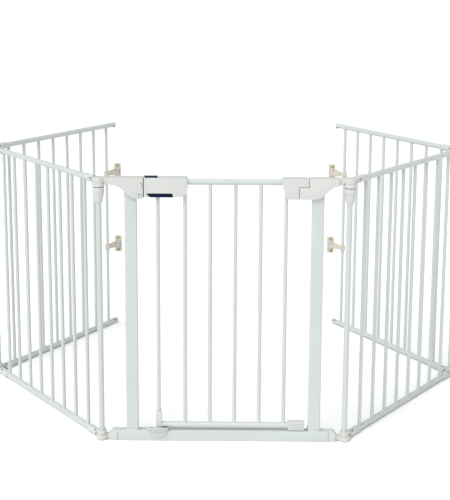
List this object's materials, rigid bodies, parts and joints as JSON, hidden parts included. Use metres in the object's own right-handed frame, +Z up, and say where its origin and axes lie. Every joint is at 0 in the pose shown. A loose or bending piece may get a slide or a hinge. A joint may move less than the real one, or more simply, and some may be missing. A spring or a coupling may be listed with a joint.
{
  "type": "pet gate",
  "caption": "Free-standing barred pet gate: a latched walk-through door between hinged side panels that swing round to a wall.",
  "frame": {"origin": "centre of the threshold beam's underside", "axes": "+X along the threshold beam towards the door's hinge, +Y through the gate towards the wall, +Z up"},
  "size_m": [1.47, 1.033, 0.7372],
  "materials": {
    "powder_coat": "white powder-coated steel tube, satin",
    "white_plastic": "warm white moulded nylon",
    "ivory_plastic": "ivory moulded plastic",
    "navy_plastic": "navy moulded plastic",
    "grey_plastic": "grey acetal",
    "zinc_steel": "zinc-plated steel",
    "spring_steel": "spring steel wire",
    "brass": "yellow passivated steel screws"
  },
  "bodies": {
    "gate_frame": {"threshold_beam": "powder_coat", "left_upright": "powder_coat", "right_upright": "powder_coat", "latch_housing": "white_plastic", "hinge_housing": "white_plastic", "left_beam_cap": "white_plastic", "right_beam_cap": "white_plastic", "striker_plate": "white_plastic", "front_left_post": "powder_coat", "front_right_post": "powder_coat", "lower_hinge_bracket": "zinc_steel"},
    "hinge_pin": {"upper_hinge_pin": "zinc_steel"},
    "door": {"door_top_rail": "powder_coat", "door_bottom_rail": "powder_coat", "door_bars": "powder_coat", "handle_front_shell": "white_plastic", "handle_back_shell": "white_plastic", "door_hinge_cover": "white_plastic", "door_hinge_sleeve": "white_plastic", "door_foot": "white_plastic", "lever_spring": "spring_steel"},
    "thumb_slide": {"thumb_slide": "navy_plastic"},
    "squeeze_lever": {"squeeze_lever": "navy_plastic"},
    "latch_bolt": {"latch_bolt": "grey_plastic"},
    "front_left_panel": {"front_left_top_rail": "powder_coat", "front_left_bottom_rail": "powder_coat", "front_left_bars": "powder_coat", "front_left_gate_connectors": "white_plastic", "front_left_corner_connectors": "white_plastic", "left_corner_post": "powder_coat"},
    "rear_left_panel": {"rear_left_top_rail": "powder_coat", "rear_left_bottom_rail": "powder_coat", "rear_left_bars": "powder_coat", "rear_left_corner_connectors": "white_plastic"},
    "left_gate_collar": {"left_gate_collar": "white_plastic"},
    "left_corner_collar": {"left_corner_collar": "white_plastic"},
    "upper_left_mount_arm": {"upper_left_mount_arm": "ivory_plastic"},
    "upper_left_mount_plate": {"upper_left_mount_plate": "ivory_plastic", "upper_left_mount_screws": "brass"},
    "lower_left_mount_arm": {"lower_left_mount_arm": "ivory_plastic"},
    "lower_left_mount_plate": {"lower_left_mount_plate": "ivory_plastic", "lower_left_mount_screws": "brass"},
    "front_right_panel": {"front_right_top_rail": "powder_coat", "front_right_bottom_rail": "powder_coat", "front_right_bars": "powder_coat", "front_right_gate_connectors": "white_plastic", "front_right_corner_connectors": "white_plastic", "right_corner_post": "powder_coat"},
    "rear_right_panel": {"rear_right_top_rail": "powder_coat", "rear_right_bottom_rail": "powder_coat", "rear_right_bars": "powder_coat", "rear_right_corner_connectors": "white_plastic"},
    "right_gate_collar": {"right_gate_collar": "white_plastic"},
    "right_corner_collar": {"right_corner_collar": "white_plastic"},
    "upper_right_mount_arm": {"upper_right_mount_arm": "ivory_plastic"},
    "upper_right_mount_plate": {"upper_right_mount_plate": "ivory_plastic", "upper_right_mount_screws": "brass"},
    "lower_right_mount_arm": {"lower_right_mount_arm": "ivory_plastic"},
    "lower_right_mount_plate": {"lower_right_mount_plate": "ivory_plastic", "lower_right_mount_screws": "brass"}
  },
  "joints": [
    {"name": "door_swing", "type": "hinge", "parent": "gate_frame", "child": "hinge_pin", "pos_m": [0.211, 0, 0.7], "axis": [0, 0, -1], "range_deg": [0, 90]},
    {"name": "door_lift", "type": "slide", "parent": "hinge_pin", "child": "door", "axis": [0, 0, 1], "range_m": [0, 0.01]},
    {"name": "thumb_slide_push", "type": "slide", "parent": "door", "child": "thumb_slide", "axis": [1, 0, 0], "range_m": [0, 0.008]},
    {"name": "lever_squeeze", "type": "slide", "parent": "door", "child": "squeeze_lever", "axis": [0, 0, 1], "range_m": [0, 0.005], "stiffness_N_per_m": 300, "springref_m": -0.006, "deforming": ["lever_spring"]},
    {"name": "bolt_retract", "type": "slide", "parent": "door", "child": "latch_bolt", "axis": [1, 0, 0], "range_m": [0, 0.0085]},
    {"name": "front_left_hinge", "type": "hinge", "parent": "gate_frame", "child": "front_left_panel", "pos_m": [-0.3325, 0, 0], "axis": [0, 0, 1], "range_deg": [-38.5, 51.5]},
    {"name": "rear_left_hinge", "type": "hinge", "parent": "front_left_panel", "child": "rear_left_panel", "pos_m": [-0.71852, 0.4853, 0], "axis": [0, 0, 1], "range_deg": [-18, 72]},
    {"name": "left_gate_collar_drop", "type": "slide", "parent": "gate_frame", "child": "left_gate_collar", "axis": [0, 0, -1], "range_m": [0, 0.014]},
    {"name": "left_corner_collar_drop", "type": "slide", "parent": "front_left_panel", "child": "left_corner_collar", "axis": [0, 0, -1], "range_m": [0, 0.014]},
    {"name": "upper_left_clip_turn", "type": "hinge", "parent": "rear_left_panel", "child": "upper_left_mount_arm", "pos_m": [-0.41932, 0.93734, 0], "axis": [0, 0, 1], "range_deg": [-60, 60]},
    {"name": "upper_left_plate_turn", "type": "hinge", "parent": "upper_left_mount_arm", "child": "upper_left_mount_plate", "pos_m": [-0.38605, 0.976, 0], "axis": [0, 0, 1], "range_deg": [-40, 40]},
    {"name": "lower_left_clip_turn", "type": "hinge", "parent": "rear_left_panel", "child": "lower_left_mount_arm", "pos_m": [-0.41932, 0.93734, 0], "axis": [0, 0, 1], "range_deg": [-60, 60]},
    {"name": "lower_left_plate_turn", "type": "hinge", "parent": "lower_left_mount_arm", "child": "lower_left_mount_plate", "pos_m": [-0.38605, 0.976, 0], "axis": [0, 0, 1], "range_deg": [-40, 40]},
    {"name": "front_right_hinge", "type": "hinge", "parent": "gate_frame", "child": "front_right_panel", "pos_m": [0.3325, 0, 0], "axis": [0, 0, 1], "range_deg": [-51.5, 38.5]},
    {"name": "rear_right_hinge", "type": "hinge", "parent": "front_right_panel", "child": "rear_right_panel", "pos_m": [0.71852, 0.4853, 0], "axis": [0, 0, 1], "range_deg": [-72, 18]},
    {"name": "right_gate_collar_drop", "type": "slide", "parent": "gate_frame", "child": "right_gate_collar", "axis": [0, 0, -1], "range_m": [0, 0.014]},
    {"name": "right_corner_collar_drop", "type": "slide", "parent": "front_right_panel", "child": "right_corner_collar", "axis": [0, 0, -1], "range_m": [0, 0.014]},
    {"name": "upper_right_clip_turn", "type": "hinge", "parent": "rear_right_panel", "child": "upper_right_mount_arm", "pos_m": [0.41545, 0.94318, 0], "axis": [0, 0, 1], "range_deg": [-60, 60]},
    {"name": "upper_right_plate_turn", "type": "hinge", "parent": "upper_right_mount_arm", "child": "upper_right_mount_plate", "pos_m": [0.37641, 0.976, 0], "axis": [0, 0, 1], "range_deg": [-40, 40]},
    {"name": "lower_right_clip_turn", "type": "hinge", "parent": "rear_right_panel", "child": "lower_right_mount_arm", "pos_m": [0.41545, 0.94318, 0], "axis": [0, 0, 1], "range_deg": [-60, 60]},
    {"name": "lower_right_plate_turn", "type": "hinge", "parent": "lower_right_mount_arm", "child": "lower_right_mount_plate", "pos_m": [0.37641, 0.976, 0], "axis": [0, 0, 1], "range_deg": [-40, 40]}
  ],
  "couplings": [
    {"joint": "bolt_retract", "follows": "lever_squeeze", "ratio": 1.7}
  ]
}
